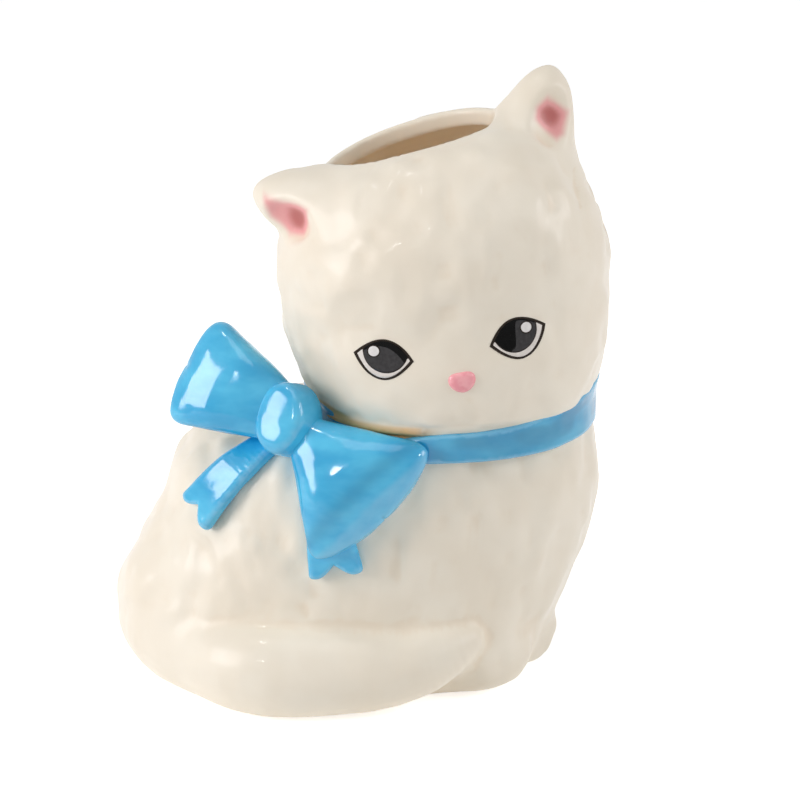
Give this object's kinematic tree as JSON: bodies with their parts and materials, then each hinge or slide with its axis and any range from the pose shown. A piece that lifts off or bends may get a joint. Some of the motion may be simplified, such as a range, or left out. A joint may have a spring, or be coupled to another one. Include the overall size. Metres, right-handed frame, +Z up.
{
  "type": "cat flower vase",
  "caption": "Seated cat flower vase in glazed ceramic, hollow for water, with a slot mouth in the crown of its tilted head and a ribbon collar tied in a large bow.",
  "frame": {"origin": "on the floor, under the middle of the vase's bounding box", "axes": "+Z up, and the cat's face looks along -Y; +X is to the right of someone facing it"},
  "size_m": [0.158, 0.1098, 0.1977],
  "materials": {
    "cream_glaze": "gloss",
    "blue_glaze": "gloss",
    "pink_glaze": "gloss",
    "eye_transfer": "gloss"
  },
  "bodies": {
    "root": {"torso_shell": "cream_glaze", "head_shell": "cream_glaze", "ear_left": "cream_glaze", "ear_right": "cream_glaze", "tail": "cream_glaze", "front_paw_left": "cream_glaze", "front_paw_right": "cream_glaze", "nose": "pink_glaze", "eye_left": "eye_transfer", "eye_right": "eye_transfer", "collar_ribbon": "blue_glaze", "bow_knot": "blue_glaze", "bow_loop_upper": "blue_glaze", "bow_loop_lower": "blue_glaze", "bow_end_left": "blue_glaze", "bow_end_right": "blue_glaze"}
  },
  "joints": []
}
